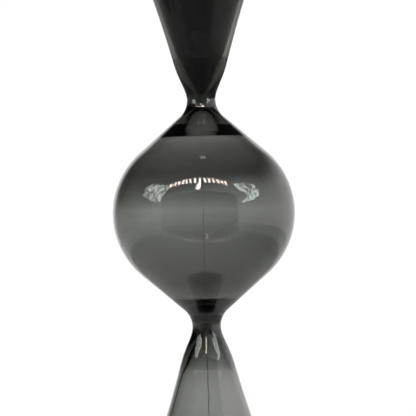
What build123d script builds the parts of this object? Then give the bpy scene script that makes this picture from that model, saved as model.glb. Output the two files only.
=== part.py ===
from build123d import *

import os
from math import atan, cos, pi, radians, sin, tan

# A three-chamber all-glass sandglass: a ball between two trumpet cones, with black sand running.
# Sizes are in mm. Z = 0 is the surface that it stands on, and the glass axis is Z.
total_height = 280.0
ball_radius = 45.0
neck_radius = 7.05
neck_offset = 55.85  # from the ball's equator to each neck's narrowest plane
bore_radius = 0.72

# The ball: a crown arc set off the axis, straight shoulders, and a concave sweep into each neck.
crown_offset = 5.0
shoulder_slope = 1.17  # radius lost per mm of height
neck_sweep = 10.8  # radius of the concave sweep
ball_wall = 3.2
shoulder_wall = 2.2

# The ball's inside, above and below: the shelf where it leaves the shoulder, and how it narrows
# to the bore. Each stop is a radius, a height beyond the shelf, and the line's heading there.
shelf_above = 36.5
shelf_below = 42.0
bell = [(8.5, 7.8, (-1, 0.75)), (4.2, 11.8, (-0.75, 1)), (bore_radius, 16.5, (0, 1))]
cup = [
    (8.1, 0.4, (-1, 0.3)),
    (7.4, 1.2, (0, 1)),
    (7.1, 6.2, (-0.1, 1)),
    (3.4, 9.6, (-1, 0.35)),
    (bore_radius, 12.0, (0, 1)),
]
bell_heading = (-1, 0.6)
cup_heading = (-1, 0.06)

# The end chambers: cone, heel, and a flat ring round a shallow hollow.
cone_length = total_height / 2 - neck_offset
end_radius = 33.6
end_wall = 3.0
heel_radius = 4.0
inner_heel_radius = 3.0
foot_radius = 22.0  # inner edge of the flat ring that it stands on
punt_depth = 5.0  # the shallow hollow inside that ring
punt_flat_radius = 9.0

# Where a cone's side bends: radius, distance from the neck plane, and radius gained per mm there.
neck_bends = [(neck_radius, 0, 0), (9.1, 7.2, 0.44), (13.0, 17.2, 0.28), (20.0, 40.9, 0.315)]
rim_bend = (end_radius, cone_length - heel_radius, 0.36)
bore_bends = [
    (bore_radius, 0, 0),
    (1.3, 2.7, 0.5),
    (5.2, 9.4, 0.54),
    (11.1, 20.3, 0.52),
    (12.3, 23.2, 0.33),
    (18.1, 42.0, 0.3),
]
inner_rim_bend = (end_radius - end_wall, cone_length - end_wall - inner_heel_radius, 0.36)
cone_outside = [*neck_bends, rim_bend]
cone_inside = [*bore_bends, inner_rim_bend]

# The fill hole in the upper end, and its stopper.
hole_radius = 4.0
plug_radius = 3.95
plug_length = 6.0
plug_chamfer = 0.6
flange_radius = 6.5
flange_height = 2.2
flange_round = 0.8
seat_gap = 0.05

# The sand, which stays sand_gap clear of the glass.
sand_gap = 0.12
throat = 2.6  # from a neck plane to where the sand column thins to a thread
upper_level = 62.0  # above the upper neck plane, at the wall
crater_radius = 14.0
crater_depth = 7.0
pool_level = 13.35  # above the lower neck plane
upper_thread_radius = 0.35
lower_thread_radius = 0.45
heap_radius = 24.0
repose_angle = 33.0

equator_z = total_height / 2
upper_neck_z = equator_z + neck_offset
lower_neck_z = equator_z - neck_offset
shoulder_angle = atan(shoulder_slope)
floor_height = cone_length - punt_depth - end_wall  # an end's inner floor, from its neck plane


def at(radius, height):
    """A point of a half section."""
    return Vector(radius, 0, height)


def turned(edges):
    """The solid that a closed half section sweeps round the axis."""
    return revolve(make_face(edges), Axis.Z)


def arc(centre_radius, centre_height, radius, start, end):
    """An arc of a half section, its angles in radians from the outward direction."""
    places = []
    for angle in (start, (start + end) / 2, end):
        x = centre_radius + radius * cos(angle)
        places.append(at(x, centre_height + radius * sin(angle)))
    return ThreePointArc(*places)


def ball_outside():
    """The ball's outer line, from its equator up to the neck plane."""
    crown = arc(crown_offset, 0, ball_radius - crown_offset, 0, shoulder_angle)
    sweep = arc(neck_radius + neck_sweep, neck_offset, neck_sweep, pi + shoulder_angle, pi)
    return [crown, Line(crown @ 1, sweep @ 0), sweep]


def ball_inside(shelf, heading, stops, gap=0.0):
    """The ball's inner line, from its equator out to the neck plane, moved in by gap."""
    # The two walls differ, so the inner arc's centre moves in to keep it tangent to the shoulder.
    shift = (ball_wall - shoulder_wall) / (1 - cos(shoulder_angle))
    radius = ball_radius - crown_offset - ball_wall + shift - gap
    crown = arc(crown_offset - shift, 0, radius, 0, shoulder_angle)
    shoulder = crown @ 1
    corner = at(shoulder.X - shoulder_slope * (shelf - shoulder.Z), shelf)
    line = [crown, Line(shoulder, corner)]
    start = corner
    for stop_radius, rise, next_heading in stops:
        stop = at(stop_radius - gap, shelf + rise)
        line.append(Spline(start, stop, tangents=[at(*heading), at(*next_heading)]))
        start, heading = stop, next_heading
    line.append(Line(start, at(start.X, neck_offset)))
    return line


def inside_above(gap=0.0):
    return ball_inside(shelf_above, bell_heading, bell, gap)


def inside_below(gap=0.0):
    return ball_inside(shelf_below, cup_heading, cup, gap)


def mirrored(edges):
    return [mirror(edge, Plane.XY) for edge in edges]


def middle_ball():
    end = Line(at(bore_radius, neck_offset), at(neck_radius, neck_offset))
    above = [*ball_outside(), end, *inside_above()]
    below = [*ball_outside(), end, *inside_below()]
    return Pos(0, 0, equator_z) * turned(above + mirrored(below))


def cone_line(bends, gap=0.0):
    """A cone's side from its neck to its rim, one smooth curve for each bend, moved in by gap."""
    curves = []
    for (radius, height, slope), (next_radius, next_height, next_slope) in zip(bends, bends[1:]):
        ends = at(radius - gap, height), at(next_radius - gap, next_height)
        curves.append(Spline(*ends, tangents=[at(slope, 1), at(next_slope, 1)]))
    return curves


def heel(radius, round_radius, height):
    """The quarter arc between an end chamber's side and its flat ring."""
    return arc(radius - round_radius, height - round_radius, round_radius, 0, pi / 2)


def punt(height):
    """The line across an end, from its flat ring at height in to the middle of the hollow."""
    ring = at(foot_radius, height)
    flat = at(punt_flat_radius, height - punt_depth)
    return Spline(ring, flat, tangents=[at(-1, 0), at(-1, 0)])


def chamber(middle_radius):
    """An end chamber on its neck plane, flat end up, with a hole of middle_radius in the end."""
    outer_heel = heel(end_radius, heel_radius, cone_length)
    inner_heel = heel(end_radius - end_wall, inner_heel_radius, cone_length - end_wall)
    outer_punt = punt(cone_length)
    inner_punt = punt(cone_length - end_wall)
    outer_middle = at(middle_radius, floor_height + end_wall)
    inner_middle = at(middle_radius, floor_height)
    return turned(
        [
            *cone_line(cone_outside),
            outer_heel,
            Line(outer_heel @ 1, outer_punt @ 0),
            outer_punt,
            Line(outer_punt @ 1, outer_middle),
            Line(outer_middle, inner_middle),
            Line(inner_middle, inner_punt @ 1),
            inner_punt,
            Line(inner_punt @ 0, inner_heel @ 1),
            inner_heel,
            *cone_line(cone_inside),
            Line(at(bore_radius, 0), at(neck_radius, 0)),
        ]
    )


def upper_chamber():
    return Pos(0, 0, upper_neck_z) * chamber(hole_radius)


def lower_chamber():
    return Pos(0, 0, lower_neck_z) * mirror(chamber(0), Plane.XY)


def slab(low, high):
    """A disc wider than the glass, between two heights."""
    return Pos(0, 0, (low + high) / 2) * Cylinder(total_height, high - low)


def upper_sand():
    """The sand still to run: the cone's lower part, with a crater where it sinks."""
    side = cone_line(cone_inside, sand_gap)
    start = side[0] @ 0
    rim = side[-1] @ 1
    top = at(0, rim.Z)
    body = turned([*side, Line(rim, top), Line(top, at(0, 0)), Line(at(0, 0), start)])
    body &= slab(throat, upper_level)
    crater = Cone(0.5, crater_radius, crater_depth)
    body -= Pos(0, 0, upper_level - crater_depth / 2) * crater
    return Pos(0, 0, upper_neck_z) * body


def ball_pool():
    """The sand waiting in the cup at the foot of the ball."""
    half = inside_below(sand_gap)
    tip = at(0, neck_offset)
    half += [Line(half[-1] @ 1, tip), Line(tip, at(0, 0)), Line(at(0, 0), half[0] @ 0)]
    body = turned(half) & slab(neck_offset - pool_level, neck_offset - throat)
    return Pos(0, 0, equator_z) * mirror(body, Plane.XY)


def lower_heap():
    """The sand that has run through, heaped on the lower chamber's floor."""
    ring_height = cone_length - end_wall - sand_gap
    floor = punt(ring_height)
    rim = at(heap_radius, ring_height)
    apex = at(0, ring_height - heap_radius * tan(radians(repose_angle)))
    middle = at(0, ring_height - punt_depth)
    body = turned(
        [
            Line(apex, rim),
            Line(rim, floor @ 0),
            floor,
            Line(floor @ 1, middle),
            Line(middle, apex),
        ]
    )
    return Pos(0, 0, lower_neck_z) * mirror(body, Plane.XY)


def thread(radius, low, high):
    """A falling thread of sand."""
    return Pos(0, 0, (low + high) / 2) * Cylinder(radius, high - low)


def fill_stopper():
    """A flanged plug, seated in the punt so that the glass also stands on this end."""
    seat = upper_neck_z + floor_height + end_wall + seat_gap
    flange = Cylinder(flange_radius, flange_height)
    flange = fillet(flange.edges().group_by(Axis.Z)[-1], flange_round)
    plug = Cylinder(plug_radius, plug_length)
    plug = chamfer(plug.edges().group_by(Axis.Z)[0], plug_chamfer)
    lifted = Pos(0, 0, seat + flange_height / 2) * flange
    return lifted + Pos(0, 0, seat - plug_length / 2) * plug


pool_top = lower_neck_z + pool_level
heap_top = heap_radius * tan(radians(repose_angle)) + end_wall + sand_gap

parts = {
    "upper_chamber": upper_chamber(),
    "middle_ball": middle_ball(),
    "lower_chamber": lower_chamber(),
    "fill_stopper": fill_stopper(),
    "upper_sand": upper_sand(),
    "upper_thread": thread(upper_thread_radius, pool_top, upper_neck_z + throat),
    "ball_pool": ball_pool(),
    "lower_thread": thread(lower_thread_radius, heap_top, lower_neck_z + throat),
    "lower_heap": lower_heap(),
}

os.makedirs("parts", exist_ok=True)
for name, shape in parts.items():
    export_step(shape, f"parts/{name}.step")
    print(name, round(shape.volume), "mm3")
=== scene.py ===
import math
import random

import bmesh
import bpy
from mathutils import Matrix, Vector, noise


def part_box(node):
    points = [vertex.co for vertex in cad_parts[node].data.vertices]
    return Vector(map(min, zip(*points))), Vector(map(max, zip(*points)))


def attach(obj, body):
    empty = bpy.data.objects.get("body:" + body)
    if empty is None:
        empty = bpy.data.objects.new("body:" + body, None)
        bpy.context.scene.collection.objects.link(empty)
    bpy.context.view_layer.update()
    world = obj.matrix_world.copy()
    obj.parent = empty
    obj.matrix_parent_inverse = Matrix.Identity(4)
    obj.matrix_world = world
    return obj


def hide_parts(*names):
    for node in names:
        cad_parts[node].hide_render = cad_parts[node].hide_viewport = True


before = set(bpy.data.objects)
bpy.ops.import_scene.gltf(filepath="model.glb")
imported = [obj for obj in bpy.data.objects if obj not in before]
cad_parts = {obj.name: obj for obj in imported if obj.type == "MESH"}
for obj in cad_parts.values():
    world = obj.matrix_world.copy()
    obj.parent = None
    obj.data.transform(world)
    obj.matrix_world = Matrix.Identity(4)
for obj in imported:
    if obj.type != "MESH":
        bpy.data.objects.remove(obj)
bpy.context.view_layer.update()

# Places that every piece is built from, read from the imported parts.
ballLow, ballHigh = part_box("middle_ball")
chamberLow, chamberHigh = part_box("upper_chamber")
equatorZ = (ballLow.z + ballHigh.z) / 2
neckOffset = (ballHigh.z - ballLow.z) / 2
ballRadius = ballHigh.x
coneLength = chamberHigh.z - chamberLow.z
endRadius = chamberHigh.x
upperNeckZ = ballHigh.z
lowerNeckZ = ballLow.z

# Blown glass, in metres. Bends are radius, distance from the neck plane, radius gained per metre.
glass = {
    "neckRadius": 0.00705,
    "boreRadius": 0.00072,
    "crownOffset": 0.005,
    "shoulderSlope": 1.17,
    "neckSweep": 0.0108,
    "ballWall": 0.0032,
    "shoulderWall": 0.0022,
    "shelfZ": {1: 0.0365, -1: 0.042},  # the inner shelf above and below, from the equator
    "shelfRise": {1: 0.6, -1: 0.06},
    "cavityLean": 0.0005,  # how far the inside of the ball stands to one side
    "endWall": 0.003,
    "heelRadius": 0.004,
    "innerHeelRadius": 0.003,
    "footRadius": 0.022,
    "puntDepth": 0.005,
    "puntFlatRadius": 0.009,
    "holeRadius": 0.004,
    "outsideBends": [(0.0091, 0.0072, 0.44), (0.013, 0.0172, 0.28), (0.02, 0.0409, 0.315)],
    "insideBends": [(0.0013, 0.0027, 0.5), (0.0052, 0.0094, 0.54), (0.0111, 0.0203, 0.52),
                    (0.0123, 0.0232, 0.33), (0.0181, 0.042, 0.3)],
    "rimSlope": 0.36,
    "turns": 208,  # faces round the axis
    "step": 0.0011,  # along a curve
    "drawLines": 0.00002,  # depth of the faint lines left by drawing the glass down
    "wallDrift": 0.00009,  # slow changes of wall from blowing
    "driftStart": 0.007,  # the radius where lines and drift begin
    "driftRamp": 0.01,  # how much further out they reach their full depth
    "driftBias": 0.6,  # pulls them inward
    "driftScale": 1.3,
    "driftRise": 14,
    "lineScale": 9,
    "leanRadius": 0.008,  # the neck inside this radius stays on the axis
}
shoulderAngle = math.atan(glass["shoulderSlope"])


def arcPoints(centreR, centreZ, radius, start, end, step=glass["step"]):
    count = max(3, round(abs(end - start) * radius / step))
    angles = [start + (end - start) * i / count for i in range(count + 1)]
    return [(centreR + radius * math.cos(a), centreZ + radius * math.sin(a)) for a in angles]


def bendPoints(start, end, startWay, endWay, step=glass["step"]):
    # a smooth curve between two points, leaving along startWay and arriving along endWay
    a, b = Vector(start), Vector(end)
    length = (b - a).length
    leave = Vector(startWay).normalized() * length
    arrive = Vector(endWay).normalized() * length
    count = max(3, round(length / step))
    places = []
    for i in range(count + 1):
        t = i / count
        place = ((2 * t**3 - 3 * t**2 + 1) * a + (t**3 - 2 * t**2 + t) * leave
                 + (3 * t**2 - 2 * t**3) * b + (t**3 - t**2) * arrive)
        places.append(tuple(place))
    return places


def linePoints(start, end, step=glass["step"] * 1.6):
    count = max(1, round((Vector(end) - Vector(start)).length / step))
    return [tuple(Vector(start).lerp(Vector(end), i / count)) for i in range(count + 1)]


def joined(*runs):
    # one line of points, without the doubled ones where runs meet
    places = []
    for run in runs:
        for place in run:
            if not places or (Vector(place) - Vector(places[-1])).length > 1e-6:
                places.append(place)
    return places


def ballOutside():
    radius = ballRadius - glass["crownOffset"]
    crown = arcPoints(glass["crownOffset"], 0, radius, 0, shoulderAngle)
    sweep = arcPoints(glass["neckRadius"] + glass["neckSweep"], neckOffset, glass["neckSweep"],
                      math.pi + shoulderAngle, math.pi, glass["step"] / 2)
    return joined(crown, linePoints(crown[-1], sweep[0]), sweep)


# The bell above the shelf and the cup below it: radius, height over the shelf, heading.
mouths = {
    1: [(0.0085, 0.0078, (-1, 0.75)), (0.0042, 0.0118, (-0.75, 1)), (glass["boreRadius"], 0.0165, (0, 1))],
    -1: [(0.0081, 0.0004, (-1, 0.3)), (0.0074, 0.0012, (0, 1)), (0.0071, 0.0062, (-0.1, 1)),
         (0.0034, 0.0096, (-1, 0.35)), (glass["boreRadius"], 0.012, (0, 1))],
}


def ballInside(side, gap=0.0):
    # the inner line from the equator to the neck plane; side is 1 above and -1 below
    shift = (glass["ballWall"] - glass["shoulderWall"]) / (1 - math.cos(shoulderAngle))
    radius = ballRadius - glass["crownOffset"] - glass["ballWall"] + shift - gap
    crown = arcPoints(glass["crownOffset"] - shift, 0, radius, 0, shoulderAngle)
    shelf = glass["shelfZ"][side]
    corner = (crown[-1][0] - glass["shoulderSlope"] * (shelf - crown[-1][1]), shelf)
    runs = [crown, linePoints(crown[-1], corner)]
    start, way = corner, (-1, glass["shelfRise"][side])
    for radiusThere, rise, heading in mouths[side]:
        stop = (radiusThere - gap, shelf + rise)
        runs.append(bendPoints(start, stop, way, heading, glass["step"] / 3))
        start, way = stop, heading
    runs.append(linePoints(start, (start[0], neckOffset)))
    return joined(*runs)


def coneSide(bends, start, end, gap=0.0):
    stops = [(*start, 0.0), *bends, (*end, glass["rimSlope"])]
    runs = []
    for (r0, z0, s0), (r1, z1, s1) in zip(stops, stops[1:]):
        step = glass["step"] if z0 > 0.02 else glass["step"] / 2
        runs.append(bendPoints((r0 - gap, z0), (r1 - gap, z1), (s0, 1), (s1, 1), step))
    return joined(*runs)


def coneOutside():
    end = (endRadius, coneLength - glass["heelRadius"])
    return coneSide(glass["outsideBends"], (glass["neckRadius"], 0), end)


def coneInside(gap=0.0):
    end = (endRadius - glass["endWall"],
           coneLength - glass["endWall"] - glass["innerHeelRadius"])
    return coneSide(glass["insideBends"], (glass["boreRadius"], 0), end, gap)


def endLine(radius, heelRadius, height, middleRadius):
    # from the heel, over the flat ring and down the shallow hollow to middleRadius
    heel = arcPoints(radius - heelRadius, height - heelRadius, heelRadius, 0, math.pi / 2,
                     glass["step"] / 2)
    ring = (glass["footRadius"], height)
    flat = (glass["puntFlatRadius"], height - glass["puntDepth"])
    hollow = bendPoints(ring, flat, (-1, 0), (-1, 0))
    middle = linePoints(flat, (middleRadius, flat[1]))
    return joined(heel, linePoints(heel[-1], ring), hollow, middle)


def outerEnd(middleRadius):
    return endLine(endRadius, glass["heelRadius"], coneLength, middleRadius)


def innerEnd(middleRadius):
    return endLine(endRadius - glass["endWall"], glass["innerHeelRadius"],
                   coneLength - glass["endWall"], middleRadius)


def raised(places, z, flip=1):
    return [(r, z + flip * t) for r, t in places]


def lathe(name, places, turns, shift=None):
    # sweeps a line of (radius, height) round Z; shift(index, r, z, angle) moves each point
    mesh = bpy.data.meshes.new(name)
    work = bmesh.new()
    rings = []
    for index, (r, z) in enumerate(places):
        if r < 1e-7:
            rings.append([work.verts.new((0, 0, z))])
            continue
        ring = []
        for i in range(turns):
            angle = 2 * math.pi * i / turns
            dx, dr, dz = shift(index, r, z, angle) if shift else (0, 0, 0)
            x, y = (r + dr) * math.cos(angle) + dx, (r + dr) * math.sin(angle)
            ring.append(work.verts.new((x, y, z + dz)))
        rings.append(ring)
    for low, high in zip(rings, rings[1:]):
        for i in range(turns):
            j = (i + 1) % turns
            corners = [low[i % len(low)], low[j % len(low)], high[j % len(high)], high[i % len(high)]]
            corners = list(dict.fromkeys(corners))
            if len(corners) > 2:
                work.faces.new(corners)
    bmesh.ops.recalc_face_normals(work, faces=work.faces)
    work.to_mesh(mesh)
    work.free()
    for face in mesh.polygons:
        face.use_smooth = True
    piece = bpy.data.objects.new(name, mesh)
    bpy.context.collection.objects.link(piece)
    return piece


def makeVessel():
    below = [*raised(outerEnd(0)[::-1], lowerNeckZ, -1), *raised(coneOutside()[::-1], lowerNeckZ, -1)]
    half = ballOutside()
    ball = [*raised(half[::-1], equatorZ, -1), *raised(half, equatorZ)]
    above = [*raised(coneOutside(), upperNeckZ), *raised(outerEnd(glass["holeRadius"]), upperNeckZ)]
    outside = joined(below, ball, above)
    ballIn = [*raised(ballInside(1)[::-1], equatorZ), *raised(ballInside(-1), equatorZ, -1)]
    aboveIn = [*raised(innerEnd(glass["holeRadius"])[::-1], upperNeckZ),
               *raised(coneInside()[::-1], upperNeckZ)]
    belowIn = [*raised(coneInside(), lowerNeckZ, -1), *raised(innerEnd(0), lowerNeckZ, -1)]
    inside = joined(aboveIn, ballIn, belowIn)
    hole = linePoints(outside[-1], inside[0], 0.0006)
    places = joined(outside, hole, inside)
    insideFrom = len(joined(outside, hole))

    def blown(index, r, z, angle):
        # lobes of wall and drawn lines, pulled inward, and the ball's inside a little to one side
        x, y, lines = math.cos(angle), math.sin(angle), glass["lineScale"]
        window = min(1, max(0, (r - glass["driftStart"]) / glass["driftRamp"]))
        drift = Vector((x, y, z * glass["driftRise"])) * glass["driftScale"]
        slow = noise.noise(drift) - glass["driftBias"]
        fine = noise.noise(Vector((x * lines, y * lines, z * lines))) - glass["driftBias"]
        lean = 0
        if index >= insideFrom and abs(z - equatorZ) < neckOffset and r > glass["leanRadius"]:
            lean = -glass["cavityLean"] * math.cos((z - equatorZ) / neckOffset * math.pi / 2)
        return lean * window, window * (glass["wallDrift"] * slow + glass["drawLines"] * fine), 0

    piece = lathe("glass_vessel", places, glass["turns"], blown)
    print("vessel", len(places), "rings", len(piece.data.vertices), "points")
    return piece


def newMaterial(name):
    material = bpy.data.materials.new(name)
    material.use_nodes = True
    nodes = material.node_tree.nodes
    nodes.clear()
    output = nodes.new("ShaderNodeOutputMaterial")
    shader = nodes.new("ShaderNodeBsdfPrincipled")
    material.node_tree.links.new(shader.outputs[0], output.inputs["Surface"])
    return material, nodes, material.node_tree.links, shader, output


smoke = {
    "tint": (0.330, 0.345, 0.3075, 1),  # what the glass keeps of each colour
    "density": 400.0,
    "ior": 1.5,
    "reach": 0.14,
    # mm from the equator, and how much each face lets through: painted shade, the tint darker in bands at
    # some heights
    "paintedShadeKeeps": [(-110, 0.88), (-85, 0.84), (-70, 0.74), (-62, 0.62), (-52, 0.6), (-44, 0.75), (-39, 0.5),
              (-33, 0.41), (-24, 0.58), (-15, 0.69), (-9, 0.76), (-3, 0.93), (2, 1.0), (8, 0.76),
              (12, 0.64), (20, 0.47), (27, 0.54), (32, 0.6), (36, 0.72), (41, 0.9), (46, 0.7), (52, 0.6),
              (64, 0.6), (80, 0.8), (110, 0.88)],
}


def smokyGlass():
    material, nodes, links, shader, output = newMaterial("smoky_glass")
    place = nodes.new("ShaderNodeTexCoord")
    split = nodes.new("ShaderNodeSeparateXYZ")
    links.new(place.outputs["Object"], split.inputs[0])
    height = nodes.new("ShaderNodeMath")
    height.operation = "SUBTRACT"
    height.inputs[1].default_value = equatorZ
    links.new(split.outputs["Z"], height.inputs[0])
    span = nodes.new("ShaderNodeMapRange")
    span.inputs["From Min"].default_value = -smoke["reach"]
    span.inputs["From Max"].default_value = smoke["reach"]
    links.new(height.outputs[0], span.inputs["Value"])
    # painted shade: the glass's tint follows the height and is darker in bands, so parts of the vessel look
    # shaded
    paintedShadeBands = nodes.new("ShaderNodeValToRGB")
    band = paintedShadeBands.color_ramp
    while len(band.elements) < len(smoke["paintedShadeKeeps"]):
        band.elements.new(0.5)
    for element, (rise, level) in zip(band.elements, smoke["paintedShadeKeeps"]):
        element.position = (rise / 1000 + smoke["reach"]) / (2 * smoke["reach"])
        element.color = (level, level, level, 1)
    links.new(span.outputs[0], paintedShadeBands.inputs[0])
    links.new(paintedShadeBands.outputs[0], shader.inputs["Base Color"])
    shader.inputs["Roughness"].default_value = 0.0
    shader.inputs["Transmission Weight"].default_value = 1.0
    shader.inputs["IOR"].default_value = smoke["ior"]
    inner = nodes.new("ShaderNodeVolumeAbsorption")
    inner.inputs["Color"].default_value = smoke["tint"]
    inner.inputs["Density"].default_value = smoke["density"]
    links.new(inner.outputs[0], output.inputs["Volume"])
    return material


def grainGroup():
    # grains as cells: a tone, a height and a glint mask, for the sand and the dust on the rubber
    group = bpy.data.node_groups.new("grain", "ShaderNodeTree")
    face = group.interface
    for name, value in (("Scale", 3200.0), ("Dark", 0.002), ("Light", 0.03)):
        face.new_socket(name, in_out="INPUT", socket_type="NodeSocketFloat").default_value = value
    outputs = {"Color": "NodeSocketColor", "Height": "NodeSocketFloat", "Glint": "NodeSocketFloat"}
    for name, kind in outputs.items():
        face.new_socket(name, in_out="OUTPUT", socket_type=kind)
    nodes, links = group.nodes, group.links
    given, result = nodes.new("NodeGroupInput"), nodes.new("NodeGroupOutput")
    place = nodes.new("ShaderNodeTexCoord")
    cells = nodes.new("ShaderNodeTexVoronoi")
    links.new(place.outputs["Object"], cells.inputs["Vector"])
    links.new(given.outputs["Scale"], cells.inputs["Scale"])
    tone = nodes.new("ShaderNodeSeparateColor")
    links.new(cells.outputs["Color"], tone.inputs[0])
    level = nodes.new("ShaderNodeMapRange")
    links.new(tone.outputs[0], level.inputs["Value"])
    links.new(given.outputs["Dark"], level.inputs["To Min"])
    links.new(given.outputs["Light"], level.inputs["To Max"])
    grey = nodes.new("ShaderNodeCombineColor")
    for i in range(3):
        links.new(level.outputs[0], grey.inputs[i])
    links.new(grey.outputs[0], result.inputs["Color"])
    links.new(cells.outputs["Distance"], result.inputs["Height"])
    glint = nodes.new("ShaderNodeMapRange")
    glint.inputs["From Min"].default_value = 0.93
    glint.inputs["From Max"].default_value = 0.97
    links.new(tone.outputs[1], glint.inputs["Value"])
    links.new(glint.outputs[0], result.inputs["Glint"])
    return group


grains = grainGroup()


def useGrain(nodes, scale, dark, light):
    node = nodes.new("ShaderNodeGroup")
    node.node_tree = grains
    node.inputs["Scale"].default_value = scale
    node.inputs["Dark"].default_value = dark
    node.inputs["Light"].default_value = light
    return node


def blackSand():
    material, nodes, links, shader, output = newMaterial("black_sand")
    grain = useGrain(nodes, sand["cellScale"], *sand["tones"])
    links.new(grain.outputs["Color"], shader.inputs["Base Color"])
    shader.inputs["Specular IOR Level"].default_value = 0.25
    dull = nodes.new("ShaderNodeMapRange")
    dull.inputs["To Min"].default_value = sand["dull"]
    dull.inputs["To Max"].default_value = sand["glint"]
    links.new(grain.outputs["Glint"], dull.inputs["Value"])
    links.new(dull.outputs[0], shader.inputs["Roughness"])
    relief = nodes.new("ShaderNodeBump")
    relief.inputs["Distance"].default_value = sand["cellDepth"]
    relief.inputs["Strength"].default_value = sand["cellRelief"]
    relief.invert = True
    links.new(grain.outputs["Height"], relief.inputs["Height"])
    links.new(relief.outputs[0], shader.inputs["Normal"])
    return material


rubber = {
    "dark": (0.014, 0.014, 0.015, 1),
    "worn": (0.04, 0.041, 0.043, 1),
    "bloomScale": 160,
    "bloomDepth": 0.00006,
    "dustScale": 5200,
    "dustTones": (0.03, 0.11),
    "dust": 0.5,  # how much of the rubber's colour a grain of dust covers
    "roughness": (0.48, 0.72),
}


def stopperRubber():
    # dark rubber with a soft bloom, fine dust and worn lighter patches
    material, nodes, links, shader, output = newMaterial("stopper_rubber")
    place = nodes.new("ShaderNodeTexCoord")
    bloom = nodes.new("ShaderNodeTexNoise")
    bloom.inputs["Scale"].default_value = rubber["bloomScale"]
    bloom.inputs["Detail"].default_value = 6
    links.new(place.outputs["Object"], bloom.inputs["Vector"])
    tone = nodes.new("ShaderNodeValToRGB")
    tone.color_ramp.elements[0].position = 0.35
    tone.color_ramp.elements[0].color = rubber["dark"]
    tone.color_ramp.elements[1].position = 0.7
    tone.color_ramp.elements[1].color = rubber["worn"]
    links.new(bloom.outputs[0], tone.inputs[0])
    grain = useGrain(nodes, rubber["dustScale"], *rubber["dustTones"])
    mask = nodes.new("ShaderNodeMath")
    mask.operation = "MULTIPLY"
    mask.inputs[1].default_value = rubber["dust"]
    links.new(grain.outputs["Glint"], mask.inputs[0])
    dusty = nodes.new("ShaderNodeMix")
    dusty.data_type = "RGBA"
    links.new(mask.outputs[0], dusty.inputs["Factor"])
    links.new(tone.outputs[0], dusty.inputs["A"])
    links.new(grain.outputs["Color"], dusty.inputs["B"])
    links.new(dusty.outputs["Result"], shader.inputs["Base Color"])
    dull = nodes.new("ShaderNodeMapRange")
    dull.inputs["To Min"].default_value = rubber["roughness"][0]
    dull.inputs["To Max"].default_value = rubber["roughness"][1]
    links.new(bloom.outputs[0], dull.inputs["Value"])
    links.new(dull.outputs[0], shader.inputs["Roughness"])
    relief = nodes.new("ShaderNodeBump")
    relief.inputs["Distance"].default_value = rubber["bloomDepth"]
    relief.inputs["Strength"].default_value = 0.5
    links.new(bloom.outputs[0], relief.inputs["Height"])
    links.new(relief.outputs[0], shader.inputs["Normal"])
    return material


sand = {
    "gap": 0.00012,
    "throat": 0.0026,
    "upperLevel": 0.062,
    "craterRadius": 0.014,
    "craterDepth": 0.007,
    "poolLevel": 0.01335,
    "turns": 128,
    "relief": 0.00012,  # of the grains lying on a free surface
    "heapRadius": 0.024,
    "repose": math.radians(33),
    "grain": 0.00016,
    "upperGrains": 250,
    "upperRadius": 0.0003,
    "upperSway": 0.0001,
    "lowerGrains": 420,
    "lowerRadius": 0.00036,
    "lowerSway": 0.0007,
    "seed": 11,
    "threadInset": 0.0002,  # how far a thread stops short of its CAD box at each end
    "cellScale": 3400,
    "cellDepth": 0.00015,
    "cellRelief": 0.7,
    "tones": (0.0015, 0.016),
    "dull": 0.78,  # roughness of most grains
    "glint": 0.28,  # and of the few that catch the light
}


def sandRelief(edge):
    # grains standing up and down on the free surface inside edge, never past the glass
    def relief(index, r, z, angle):
        if r > edge - 0.0006:
            return 0, 0, 0
        here = Vector((r * math.cos(angle), r * math.sin(angle), z))
        return 0, 0, sand["relief"] * (noise.noise(here * 1900) + 1.4 * noise.noise(here * 260) - 1.2)
    return relief


def makeUpperSand():
    side = [p for p in coneInside(sand["gap"]) if sand["throat"] <= p[1] <= sand["upperLevel"]]
    rim = side[-1]
    places = [(0, side[0][1]), *side]
    places += linePoints(rim, (sand["craterRadius"], rim[1]), 0.0005)
    places += linePoints((sand["craterRadius"], rim[1]), (0, rim[1] - sand["craterDepth"]), 0.0005)
    lowest = upperNeckZ + rim[1] - sand["craterDepth"] - 0.0001
    relief = sandRelief(rim[0])

    def onTop(index, r, z, angle):
        return relief(index, r, z, angle) if index > len(side) and z > lowest else (0, 0, 0)

    return lathe("upper_sand_fill", raised(joined(places), upperNeckZ), sand["turns"], onTop)


def makeHeap():
    # a slope of running sand with a soft peak, lying on the hollow floor
    ring = coneLength - glass["endWall"] - sand["gap"]
    under = [p for p in endLine(endRadius - glass["endWall"], glass["innerHeelRadius"], ring, 0)
             if p[0] < sand["heapRadius"] - 0.0005]
    peak = ring - sand["heapRadius"] * math.tan(sand["repose"]) + 0.0008
    brow = (0.0022, peak + 0.0009)
    top = bendPoints((0, peak), brow, (1, 0), (1, math.tan(sand["repose"])), 0.0004)
    surface = joined(top, linePoints(brow, (sand["heapRadius"], ring), 0.0004))
    relief = sandRelief(sand["heapRadius"])

    def onSlope(index, r, z, angle):
        return relief(index, r, z, angle) if 0 < index < len(surface) else (0, 0, 0)

    return lathe("heap_slope", raised(joined(surface, under), lowerNeckZ, -1), sand["turns"], onSlope)


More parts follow.
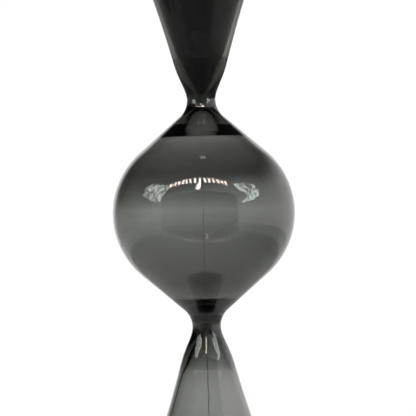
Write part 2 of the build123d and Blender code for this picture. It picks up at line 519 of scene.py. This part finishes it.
def makeThread(name, low, high, radius, count, sway, seed):
    # a loose thread of falling grains, each a small uneven lump
    chance = random.Random(seed)
    mesh = bpy.data.meshes.new(name)
    corners, faces = [], []
    lump = [(1, 0, 0), (-1, 0, 0), (0, 1, 0), (0, -1, 0), (0, 0, 1), (0, 0, -1)]
    sides = [(0, 2, 4), (2, 1, 4), (1, 3, 4), (3, 0, 4), (2, 0, 5), (1, 2, 5), (3, 1, 5), (0, 3, 5)]
    for i in range(count):
        z = low + (high - low) * (i + chance.random()) / count
        drift = noise.noise(Vector((z * 130, seed, 0))) * sway
        turn, out = chance.uniform(0, 2 * math.pi), radius * chance.random() ** 0.7
        middle = Vector((drift + out * math.cos(turn), out * math.sin(turn), z))
        size = sand["grain"] * chance.uniform(0.6, 1.25)
        first = len(corners)
        for x, y, h in lump:
            corners.append(tuple(middle + Vector((x, y, h * 1.3)) * size * chance.uniform(0.7, 1.2)))
        faces += [tuple(first + k for k in side) for side in sides]
    mesh.from_pydata(corners, [], faces)
    piece = bpy.data.objects.new(name, mesh)
    bpy.context.collection.objects.link(piece)
    return piece


def makePool():
    low, high = neckOffset - sand["poolLevel"], neckOffset - sand["throat"]
    side = [p for p in ballInside(-1, sand["gap"]) if low <= p[1] <= high]
    places = [(0, side[0][1]), *side, (0, side[-1][1])]
    return lathe("pool_fill", raised(joined(places), equatorZ, -1), sand["turns"])


def place(piece, slot, material, *nodes):
    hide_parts(*nodes)
    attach(piece, "glass")
    piece.data.materials.append(material)


place(makeVessel(), "smoky_glass", smokyGlass(), "upper_chamber", "middle_ball", "lower_chamber")
sandMaterial = blackSand()
place(makeUpperSand(), "black_sand", sandMaterial, "upper_sand")
place(makePool(), "black_sand", sandMaterial, "ball_pool")
place(makeHeap(), "black_sand", sandMaterial, "lower_heap")
upperBox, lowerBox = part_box("upper_thread"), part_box("lower_thread")
inset = sand["threadInset"]
upperThread = makeThread("upper_grains", upperBox[0].z + inset, upperBox[1].z - inset,
                         sand["upperRadius"], sand["upperGrains"], sand["upperSway"], sand["seed"])
place(upperThread, "black_sand", sandMaterial, "upper_thread")
lowerThread = makeThread("lower_grains", lowerBox[0].z + inset, lowerBox[1].z - inset,
                         sand["lowerRadius"], sand["lowerGrains"], sand["lowerSway"], sand["seed"] + 1)
place(lowerThread, "black_sand", sandMaterial, "lower_thread")
print("sand in place")

stopper = bpy.data.objects["fill_stopper"]
stopper.data.materials.clear()
stopper.data.materials.append(stopperRubber())
print("stopper coloured")

view = {
    "distance": 1.3,
    "viewWidth": 0.20515,  # what the camera takes in at the glass axis
    "roll": math.radians(1.4),
    "offset": (0.00202, 0.00247),  # where the camera aims, across and up from the ball's middle
}


def makeCamera():
    data = bpy.data.cameras.new("camera")
    data.sensor_width = 36
    data.lens = 36 * view["distance"] / view["viewWidth"]
    data.clip_start, data.clip_end = 0.01, 60
    camera = bpy.data.objects.new("camera", data)
    bpy.context.collection.objects.link(camera)
    across = Vector((math.cos(view["roll"]), 0, -math.sin(view["roll"])))
    up = Vector((math.sin(view["roll"]), 0, math.cos(view["roll"])))
    away = Vector((0, 1, 0))
    place = Vector((0, 0, equatorZ)) + across * view["offset"][0] + up * view["offset"][1]
    place -= away * view["distance"]
    camera.matrix_world = Matrix((
        (across.x, up.x, -away.x, place.x),
        (across.y, up.y, -away.y, place.y),
        (across.z, up.z, -away.z, place.z),
        (0, 0, 0, 1),
    ))
    bpy.context.scene.camera = camera


makeCamera()
print("camera in place")

studio = {
    "backdrop": 1.05,
    "backdropEdge": 0.8,  # where it starts for reflections, as the direction's y
    "backdropSpread": 0.13,  # how much wider it is for light through the glass
    "backdropFull": 0.92,
    "seenWhite": 1.02,  # what the camera sees round the glass
    "tent": 0.66,  # the lit cloth in front and at the sides
    "roof": 0.02,
    "tentSlope": 0.47,
    "tentLean": -0.3,
    "tentBack": 0.1,  # the direction's y past which the roof's edge stays level
    "tentHeight": 0.43,
    "tentFade": 0.34,  # how far below tentHeight the cloth starts to darken
    "tentLip": 0.04,  # how far above it the roof is fully dark
    "tentRight": 2.1,  # how much brighter the cloth is on the right
    "lamp": 36.0,
    "lampReach": 0.32,  # from the axis toward the camera
    "slats": 15,
    "rowAcross": (-48, 36),  # degrees, from the ball's middle
    "rowRise": (43, 48.5),
    "rowDrop": 0.026,  # how far the row sinks toward the right
    "sparkY": -0.06,
    "sparkHalf": 0.013,
    "spark": 5,
    "ring": 60,
    "overheadZ": 0.47,
    "window": 12.0,
    "windowReach": 0.2,
    "opening": 0.22,  # the dark room seen through the front of the tent
    "openingReach": 0.5,
    "groundReach": 0.23,
    "floorRadius": 0.42,
    "floorGlow": 0.56,
    "seamRadius": 0.205,
    "seamGlow": 0.3,
    "groundLevel": -0.0005,
    "groundRings": {"dark_ground": (0.215, 0.33, 0.5), "grey_ground": (0.33, 0.6, 0.85)},
    "flag": 0.17,
    "flagRise": -0.004,  # from the neck
}


def lampMaterial(name, colour, strength, crumple=0.0):
    material = bpy.data.materials.new(name)
    material.use_nodes = True
    nodes, links = material.node_tree.nodes, material.node_tree.links
    nodes.clear()
    output = nodes.new("ShaderNodeOutputMaterial")
    glow = nodes.new("ShaderNodeEmission")
    glow.inputs["Color"].default_value = (*colour, 1)
    glow.inputs["Strength"].default_value = strength
    if crumple:
        cloth = nodes.new("ShaderNodeTexNoise")
        cloth.inputs["Scale"].default_value = 34
        cloth.inputs["Detail"].default_value = 5
        cloth.inputs["Distortion"].default_value = 1.6
        place = nodes.new("ShaderNodeTexCoord")
        links.new(place.outputs["Object"], cloth.inputs["Vector"])
        folds = nodes.new("ShaderNodeMapRange")
        folds.inputs["From Min"].default_value = 0.4
        folds.inputs["From Max"].default_value = 0.68
        folds.inputs["To Min"].default_value = strength * (1 - crumple)
        folds.inputs["To Max"].default_value = strength
        links.new(cloth.outputs[0], folds.inputs["Value"])
        links.new(folds.outputs[0], glow.inputs["Strength"])
    links.new(glow.outputs[0], output.inputs["Surface"])
    return material


def card(name, faces, material, transmitted=True):
    # flat cards that only reflections and light through the glass can see
    mesh = bpy.data.meshes.new(name)
    corners = [corner for face in faces for corner in face]
    indices, start = [], 0
    for face in faces:
        indices.append(list(range(start, start + len(face))))
        start += len(face)
    mesh.from_pydata(corners, [], indices)
    mesh.materials.append(material)
    thing = bpy.data.objects.new(name, mesh)
    bpy.context.collection.objects.link(thing)
    thing.visible_camera = False
    thing.visible_diffuse = False
    thing.visible_shadow = False
    thing.visible_transmission = transmitted
    return thing


def upright(left, right, y, top):
    # an upright rectangle standing on the ground
    return [(left, y, 0), (right, y, 0), (right, y, top), (left, y, top)]


def circle(radius, z, count, stretch=1.0):
    turn = [2 * math.pi * i / count for i in range(count)]
    return [(radius * math.cos(a) * stretch, radius * math.sin(a), z) for a in turn]


def band(near, far):
    # the faces between two circles; they face up when far is the outer one
    return [[near[i - 1], far[i - 1], far[i], near[i]] for i in range(len(near))]


def toward(azimuth, elevation, distance):
    # a place seen from the ball's middle; azimuth 0 is toward the camera and grows to the right
    a, e = math.radians(azimuth), math.radians(elevation)
    return (distance * math.sin(a) * math.cos(e), -distance * math.cos(a) * math.cos(e),
            equatorZ + distance * math.sin(e))


def makeWorld(scene):
    world = bpy.data.worlds.new("studio")
    world.use_nodes = True
    scene.world = world
    nodes, links = world.node_tree.nodes, world.node_tree.links
    nodes.clear()
    output = nodes.new("ShaderNodeOutputWorld")
    place = nodes.new("ShaderNodeTexCoord")
    split = nodes.new("ShaderNodeSeparateXYZ")
    links.new(place.outputs["Generated"], split.inputs[0])
    lean = nodes.new("ShaderNodeVectorMath")
    lean.operation = "DOT_PRODUCT"
    lean.inputs[1].default_value = (studio["tentLean"], studio["tentSlope"], 1)
    level = nodes.new("ShaderNodeVectorMath")
    level.operation = "MINIMUM"
    level.inputs[1].default_value = (1, studio["tentBack"], 1)
    links.new(place.outputs["Generated"], level.inputs[0])
    links.new(level.outputs[0], lean.inputs[0])
    cloth = nodes.new("ShaderNodeMapRange")
    cloth.interpolation_type = "SMOOTHSTEP"
    cloth.inputs["From Min"].default_value = studio["tentHeight"] - studio["tentFade"]
    cloth.inputs["From Max"].default_value = studio["tentHeight"] + studio["tentLip"]
    cloth.inputs["To Min"].default_value = studio["tent"]
    cloth.inputs["To Max"].default_value = studio["roof"]
    links.new(lean.outputs["Value"], cloth.inputs["Value"])
    right = nodes.new("ShaderNodeMapRange")
    right.inputs["To Min"].default_value = 1
    right.inputs["To Max"].default_value = studio["tentRight"]
    links.new(split.outputs["X"], right.inputs["Value"])
    lit = nodes.new("ShaderNodeMath")
    lit.operation = "MULTIPLY"
    links.new(cloth.outputs[0], lit.inputs[0])
    links.new(right.outputs[0], lit.inputs[1])
    behind = nodes.new("ShaderNodeMapRange")
    behind.interpolation_type = "SMOOTHSTEP"
    ray = nodes.new("ShaderNodeLightPath")
    wide = nodes.new("ShaderNodeMath")
    wide.operation = "MULTIPLY_ADD"
    wide.inputs[1].default_value = -studio["backdropSpread"]
    wide.inputs[2].default_value = studio["backdropEdge"]
    links.new(ray.outputs["Is Transmission Ray"], wide.inputs[0])
    links.new(wide.outputs[0], behind.inputs["From Min"])
    behind.inputs["From Max"].default_value = studio["backdropFull"]
    behind.inputs["To Max"].default_value = studio["backdrop"]
    links.new(split.outputs["Y"], behind.inputs["Value"])
    brighter = nodes.new("ShaderNodeMath")
    brighter.operation = "MAXIMUM"
    links.new(lit.outputs[0], brighter.inputs[0])
    links.new(behind.outputs[0], brighter.inputs[1])
    room = nodes.new("ShaderNodeBackground")
    room.inputs["Color"].default_value = (1, 1, 1, 1)
    links.new(brighter.outputs[0], room.inputs["Strength"])
    plain = nodes.new("ShaderNodeBackground")
    plain.inputs["Color"].default_value = (1, 1, 1, 1)
    plain.inputs["Strength"].default_value = studio["seenWhite"]
    choose = nodes.new("ShaderNodeMixShader")
    links.new(ray.outputs["Is Camera Ray"], choose.inputs[0])
    links.new(room.outputs[0], choose.inputs[1])
    links.new(plain.outputs[0], choose.inputs[2])
    links.new(choose.outputs[0], output.inputs["Surface"])


def makeLamps():
    # a row of tilted tubes on a stem, in front and above
    reach = studio["lampReach"]
    left, right = [reach * math.tan(math.radians(a)) for a in studio["rowAcross"]]
    low, high = [equatorZ + reach * math.tan(math.radians(a)) for a in studio["rowRise"]]
    pitch = (right - left) / studio["slats"]
    slats = []
    for i in range(studio["slats"]):
        x, drop = left + i * pitch, studio["rowDrop"] * i / studio["slats"]
        slats.append([(x, -reach, high - drop), (x + pitch * 0.4, -reach, high - drop),
                      (x + pitch * 0.62, -reach, low - drop), (x + pitch * 0.22, -reach, low - drop)])
    card("tube_row", slats, lampMaterial("tube_light", (1, 0.8, 0.72), studio["lamp"]))
    stem = [[(-0.055, -reach, equatorZ + 0.195), (-0.029, -reach, equatorZ + 0.195),
             (-0.018, -reach, equatorZ + 0.285), (-0.044, -reach, equatorZ + 0.285)]]
    card("tube_stem", stem, lampMaterial("stem_light", (1, 0.9, 0.9), studio["lamp"] * 0.7))

    # a small square lamp and a ring lamp overhead; only the square one shows, as a spark on the shoulder
    y, half, z = studio["sparkY"], studio["sparkHalf"], studio["overheadZ"]
    corners = [(-half, y - half, z), (half, y - half, z), (half, y + half, z), (-half, y + half, z)]
    card("spark", [corners], lampMaterial("spark_light", (1, 0.97, 0.95), studio["spark"], crumple=0.7))
    turn = [2 * math.pi * i / 32 for i in range(33)]
    hoop = [[(0.004 + far * math.cos(a) * 0.045, 0.038 + far * math.sin(a) * 0.0022, z) for a in turn]
            for far in (0.72, 1.0)]
    ring = [[hoop[0][i], hoop[0][i + 1], hoop[1][i + 1], hoop[1][i]] for i in range(30)]
    card("ring_lamp", ring, lampMaterial("ring_light", (0.95, 1, 0.98), studio["ring"]))

    # crumpled silver cloth in the two side openings
    silver = lampMaterial("silver_cloth", (0.93, 1, 0.97), studio["window"], crumple=0.92)
    shapes = {
        "cloth_left": [(-87, 18), (-88, 27), (-80, 34), (-48, 37), (-46, 34), (-52, 21), (-56, 11),
                       (-70, 13)],
        "cloth_right": [(40, 37), (44, 38), (72, 34), (79, 27), (81, 18), (70, 12), (46, 9), (58, 17),
                        (46, 29)],
    }
    for name, outline in shapes.items():
        side = Vector((0.026 if name == "cloth_right" else -0.026, -0.033, 0.014))
        card(name, [[Vector(toward(a, e, studio["windowReach"])) + side for a, e in outline]], silver)

    # the open front of the tent with its pale rim, and the dark ground outside it
    reach = studio["openingReach"]
    left, right, top = -reach * 1.38, reach * 0.93, equatorZ + reach * 0.56
    outside = lampMaterial("dark_room", (0.95, 1, 0.97), studio["opening"])
    card("opening", [upright(left, right, -reach, top)], outside)
    closest = studio["groundReach"]
    near = closest / reach
    ground = [(left, -reach, 0), (right, -reach, 0), (right * near, -closest, 0), (left * near, -closest, 0)]
    card("ground", [ground], outside)
    rim, front = 0.012, -reach + 0.001
    edges = [upright(left, left + rim, front, top), upright(right - rim, right, front, top)]
    card("opening_rim", edges, lampMaterial("rim_light", (0.95, 1, 0.97), 1.5))


def makeFlag():
    # a dark cloth level with the neck that keeps light off the upper chamber; only its top is seen
    material = lampMaterial("flag_cloth", (0.95, 1, 0.97), studio["flag"])
    nodes, links = material.node_tree.nodes, material.node_tree.links
    glow = next(n for n in nodes if n.bl_idname == "ShaderNodeEmission")
    output = next(n for n in nodes if n.bl_idname == "ShaderNodeOutputMaterial")
    side = nodes.new("ShaderNodeNewGeometry")
    clear = nodes.new("ShaderNodeBsdfTransparent")
    choose = nodes.new("ShaderNodeMixShader")
    links.new(side.outputs["Backfacing"], choose.inputs[0])
    links.new(glow.outputs[0], choose.inputs[1])
    links.new(clear.outputs[0], choose.inputs[2])
    links.new(choose.outputs[0], output.inputs["Surface"])
    z = upperNeckZ + studio["flagRise"]
    card("flag", band(circle(0.012, z, 64), circle(1.5, z, 64)), material, False)


def makeFloor():
    mesh = bpy.data.meshes.new("floor")
    work = bmesh.new()
    bmesh.ops.create_circle(work, cap_ends=True, segments=96, radius=studio["floorRadius"])
    work.to_mesh(mesh)
    work.free()
    floor = bpy.data.objects.new("floor", mesh)
    bpy.context.collection.objects.link(floor)
    material, nodes, links, shader, output = newMaterial("floor")
    shader.inputs["Base Color"].default_value = (0.85, 0.85, 0.85, 1)
    shader.inputs["Roughness"].default_value = 0.6
    mesh.materials.append(material)
    floor.visible_glossy = False

    # what reflections see of it: the lit ground inside the tent and the dark seam round it
    level = studio["groundLevel"]
    edge = circle(studio["seamRadius"], level, 96, 1.1)
    rim = [(x * 1.03, y * 1.03, z) for x, y, z in edge]
    card("lit_ground", [edge], lampMaterial("ground_light", (0.98, 1, 0.97), studio["floorGlow"]))
    card("ground_seam", band(rim, edge), lampMaterial("seam_light", (0.98, 1, 0.97), studio["seamGlow"]))
    for name, (near, far, glow) in studio["groundRings"].items():
        beyond = band(circle(far, level, 96), circle(near, level, 96))
        card(name, beyond, lampMaterial(name, (0.98, 1, 0.97), glow), False)

    lamp = bpy.data.lights.new("overhead", "AREA")
    lamp.shape, lamp.size, lamp.energy = "DISK", 0.9, 9
    overhead = bpy.data.objects.new("overhead", lamp)
    overhead.location = (0.1, -0.2, 1.3)
    overhead.visible_glossy = False
    overhead.visible_transmission = False
    bpy.context.collection.objects.link(overhead)


def makeStudio():
    scene = bpy.context.scene
    scene.view_settings.view_transform = "Standard"
    scene.cycles.max_bounces = 24
    scene.cycles.transmission_bounces = 24
    scene.cycles.glossy_bounces = 16
    makeWorld(scene)
    makeLamps()
    makeFlag()
    makeFloor()


makeStudio()
print("studio lit")
